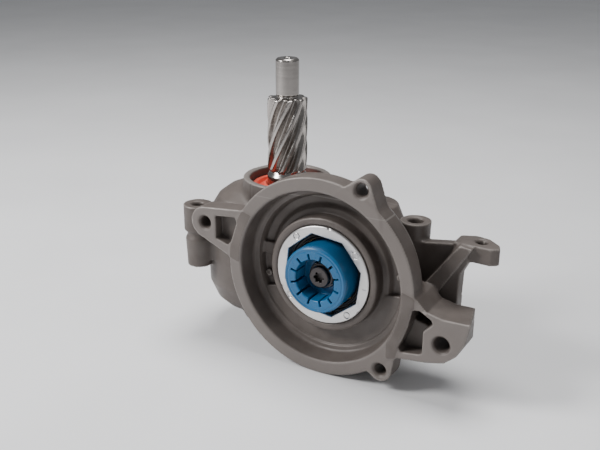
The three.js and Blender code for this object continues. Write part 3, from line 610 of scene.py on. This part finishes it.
def bump(tree, shader, height, strength, distance):
    made = tree.nodes.new("ShaderNodeBump")
    made.inputs["Strength"].default_value = strength
    made.inputs["Distance"].default_value = distance
    tree.links.new(height, made.inputs["Height"])
    tree.links.new(made.outputs["Normal"], shader.inputs["Normal"])
    return made


def mix(tree, factor, a, b, blend_type="MIX"):
    made = tree.nodes.new("ShaderNodeMix")
    made.data_type = "RGBA"
    made.blend_type = blend_type
    if isinstance(factor, float):
        made.inputs[0].default_value = factor
    else:
        tree.links.new(factor, made.inputs[0])
    for socket, value in ((made.inputs[6], a), (made.inputs[7], b)):
        if isinstance(value, tuple):
            socket.default_value = (*value, 1)
        else:
            tree.links.new(value, socket)
    return made.outputs[2]


def compare(tree, value, target, reach):
    """1 where the value is within reach of the target, else 0."""
    made = tree.nodes.new("ShaderNodeMath")
    made.operation = "COMPARE"
    made.inputs[1].default_value = target
    made.inputs[2].default_value = reach
    tree.links.new(value, made.inputs[0])
    return made.outputs[0]


def casting_paint():
    """Dull cast metal: blotched and grimy, with painted shade in its hollows and a painted highlight along
    its edges, which also stands for rubbed wear.
    """
    made, tree, shader = material("casting_paint", (0.115, 0.096, 0.086), 0.5)
    blotches = ramp(tree, noise(tree, 22, 5), [(0.3, (0.092, 0.076, 0.068)), (0.7, (0.128, 0.108, 0.097))])
    grime = ramp(tree, noise(tree, 90, 6), [(0.35, (0.62, 0.6, 0.58)), (0.62, (1, 1, 1))])
    shaded = mix(tree, 0.35, blotches, grime, "MULTIPLY")
    # faces that were machined flat, the bell's front and the collar's top, are painted paler: a painted
    # sheen standing for their smoother finish
    coords = tree.nodes.new("ShaderNodeTexCoord")
    place = tree.nodes.new("ShaderNodeSeparateXYZ")
    tree.links.new(coords.outputs["Object"], place.inputs["Vector"])
    front = compare(tree, place.outputs["Y"], BELL_FRONT * MM, 0.45 * MM)
    top = compare(tree, place.outputs["Z"], COLLAR_TOP * MM, 0.4 * MM)
    shaded = mix(tree, front, shaded, mix(tree, 0.6, shaded, (0.20, 0.176, 0.162)))
    shaded = mix(tree, top, shaded, mix(tree, 0.6, shaded, (0.22, 0.2, 0.185)))
    geometry = tree.nodes.new("ShaderNodeNewGeometry")
    # painted highlight: where pointiness is high the colour is painted brighter, a highlight along the
    # edges that also stands for rubbed wear
    edge_highlight = ramp(tree, geometry.outputs["Pointiness"], [(0.53, (0.0,)), (0.60, (0.85,))])
    # painted shade: where pointiness is low the colour is darkened, shade painted into hollows and creases
    hollow_shade = ramp(tree, geometry.outputs["Pointiness"], [(0.40, (0.45,)), (0.49, (1.0,))])
    hollow_shaded = mix(tree, 1.0, shaded, hollow_shade, "MULTIPLY")
    edge_highlighted = mix(tree, edge_highlight, hollow_shaded, (0.30, 0.272, 0.25))
    tree.links.new(edge_highlighted, shader.inputs["Base Color"])
    rough = ramp(tree, noise(tree, 60, 4), [(0.3, (0.42,)), (0.7, (0.6,))])
    tree.links.new(rough, shader.inputs["Roughness"])
    shader.inputs["Metallic"].default_value = 0.15
    bump(tree, shader, noise(tree, 900, 3), 0.25, 0.0003)
    return made


def ground_steel(name, color, rough, stretch, streaks=0.2, relief=0.12):
    """Bare metal with fine marks, drawn out by the stretch of its noise."""
    made, tree, shader = material(name, color, rough, 1.0)
    lines = noise(tree, 60, 4, stretch)
    dark = tuple(c * (1 - streaks) for c in color)
    light = tuple(min(c * (1 + streaks), 1) for c in color)
    tree.links.new(ramp(tree, lines, [(0.3, dark), (0.7, light)]), shader.inputs["Base Color"])
    wear = ramp(tree, lines, [(0.3, (rough * 0.8,)), (0.7, (rough * 1.25,))])
    tree.links.new(wear, shader.inputs["Roughness"])
    bump(tree, shader, lines, relief, 0.0001)
    return made


def moulded(name, color, rough):
    """Plastic or rubber with a faint mottle and a fine grain."""
    made, tree, shader = material(name, color, rough)
    dark = tuple(c * 0.8 for c in color)
    light = tuple(min(c * 1.15, 1) for c in color)
    tint = ramp(tree, noise(tree, 30, 5), [(0.3, dark), (0.7, light)])
    tree.links.new(tint, shader.inputs["Base Color"])
    wear = ramp(tree, noise(tree, 120, 3), [(0.3, (rough * 0.85,)), (0.7, (rough * 1.15,))])
    tree.links.new(wear, shader.inputs["Roughness"])
    bump(tree, shader, noise(tree, 700, 2), 0.15, 0.0001)
    return made


PAINT = casting_paint()
SHAFT = ground_steel("ground_shaft", (0.38, 0.355, 0.335), 0.22, (1, 1, 12), 0.1, 0.03)
GEAR = ground_steel("oiled_gear", (0.32, 0.31, 0.30), 0.3, (1, 1, 8))
DARK = ground_steel("phosphate_steel", (0.075, 0.068, 0.068), 0.42, (1, 1, 1))
ALLOY = ground_steel("turned_alloy", (0.62, 0.61, 0.605), 0.36, (1, 20, 1), 0.12)
BRASS = ground_steel("cage_brass", (0.55, 0.40, 0.18), 0.35, (1, 1, 10))
BLUE = moulded("blue_plastic", (0.004, 0.105, 0.25), 0.34)
RED = moulded("red_rubber", (0.75, 0.10, 0.06), 0.45)
BLACK = moulded("black_rubber", (0.012, 0.012, 0.013), 0.55)

SLOT_MATERIALS = {
    "housing_casting": PAINT, "dark_steel": DARK, "bright_alloy": ALLOY, "blue_plastic": BLUE,
    "red_rubber": RED, "black_rubber": BLACK, "brass_cage": BRASS, "gear_steel": GEAR,
    "polished_steel": SHAFT,
}
for row in frame["record"]["subparts"]:
    node = frame["nodes"][row["node"]]
    node.data.materials.clear()
    node.data.materials.append(SLOT_MATERIALS[row["material_slot"]])


def finish_piece(piece, paint, slot, body, *nodes):
    piece.data.materials.clear()
    piece.data.materials.append(paint)
    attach(piece, body)
    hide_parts(*nodes)
    return piece


# ----------------------------------------------------------------------- the pieces
def piece(name, field, step, paint, slot, body, node):
    """A mesh of the field, as big as its CAD node's box, that stands for that node."""
    low, high = (np.array(corner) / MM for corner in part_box(node))
    made = mesh_of_field(name, field, low, high, step)
    return finish_piece(made, paint, slot, body, node)


piece("housing_casting", housing_field, 1.0, PAINT, "housing_casting", "housing", "main_housing")
piece("bottom_cover", cover_field, 1.0, PAINT, "housing_casting", "housing", "base_cover")
piece("pinion_shaft", shaft_field, 0.6, SHAFT, "polished_steel", "input", "input_shaft")
piece("locking_nut", nut_field, 0.4, ALLOY, "bright_alloy", "housing", "ring_nut")
piece("output_sleeve", sleeve_field, 0.4, BLUE, "blue_plastic", "output", "coupling_sleeve")
piece("six_lobe_screw", screw_field, 0.3, DARK, "dark_steel", "output", "sleeve_screw")
piece("shaft_seal", seal_field, 0.45, RED, "red_rubber", "housing", "input_oil_seal")
piece("sleeve_seal", output_seal_field, 0.45, BLACK, "black_rubber", "housing", "output_oil_seal")


# ------------------------------------------------------------------ floor and light
def floor():
    mesh = bpy.data.meshes.new("floor")
    half = 3.0
    corners = [(-half, -half, 0), (half, -half, 0), (half, half, 0), (-half, half, 0)]
    mesh.from_pydata(corners, [], [(0, 1, 2, 3)])
    made = bpy.data.objects.new("floor", mesh)
    bpy.context.scene.collection.objects.link(made)
    paint, tree, shader = material("pale_floor", (0.72, 0.72, 0.73), 0.45)
    tint = ramp(tree, noise(tree, 6, 3), [(0.3, (0.79, 0.79, 0.80)), (0.7, (0.84, 0.84, 0.85))])
    tree.links.new(tint, shader.inputs["Base Color"])
    mesh.materials.append(paint)


GEARBOX_CENTRE = (0.05, -0.02, 0.08)


def light(name, energy, place, size):
    """A round area light that faces the gearbox."""
    data = bpy.data.lights.new(name, "AREA")
    data.energy = energy
    data.shape = "DISK"
    data.size = size
    made = bpy.data.objects.new(name, data)
    made.location = place
    made.rotation_euler = (Vector(GEARBOX_CENTRE) - Vector(place)).to_track_quat("-Z", "Y").to_euler()
    bpy.context.scene.collection.objects.link(made)


LENS_MM = 51.1
CAMERA_PLACE = (0.3172, -0.5241, 0.3152)
CAMERA_TURN = (69.49, -0.2, 30.37)  # degrees about X, Y and Z


def camera():
    """Stands about where the photograph was taken from, by a fit to its round outlines."""
    data = bpy.data.cameras.new("camera")
    data.lens = LENS_MM
    data.sensor_width = 36
    data.clip_start, data.clip_end = 0.05, 20
    made = bpy.data.objects.new("camera", data)
    made.location = CAMERA_PLACE
    made.rotation_euler = [math.radians(degrees) for degrees in CAMERA_TURN]
    bpy.context.scene.collection.objects.link(made)
    bpy.context.scene.camera = made


floor()
light("key", 20, (-0.8, -0.75, 0.9), 0.45)
light("top", 16, (0.0, 0.15, 1.3), 0.7)
light("right", 1.2, (1.1, -0.5, 0.6), 0.6)
world = bpy.data.worlds.new("studio")
world.use_nodes = True
world.node_tree.nodes["Background"].inputs["Color"].default_value = (0.9, 0.92, 0.95, 1)
world.node_tree.nodes["Background"].inputs["Strength"].default_value = 0.24
bpy.context.scene.world = world
camera()

bpy.context.view_layer.update()
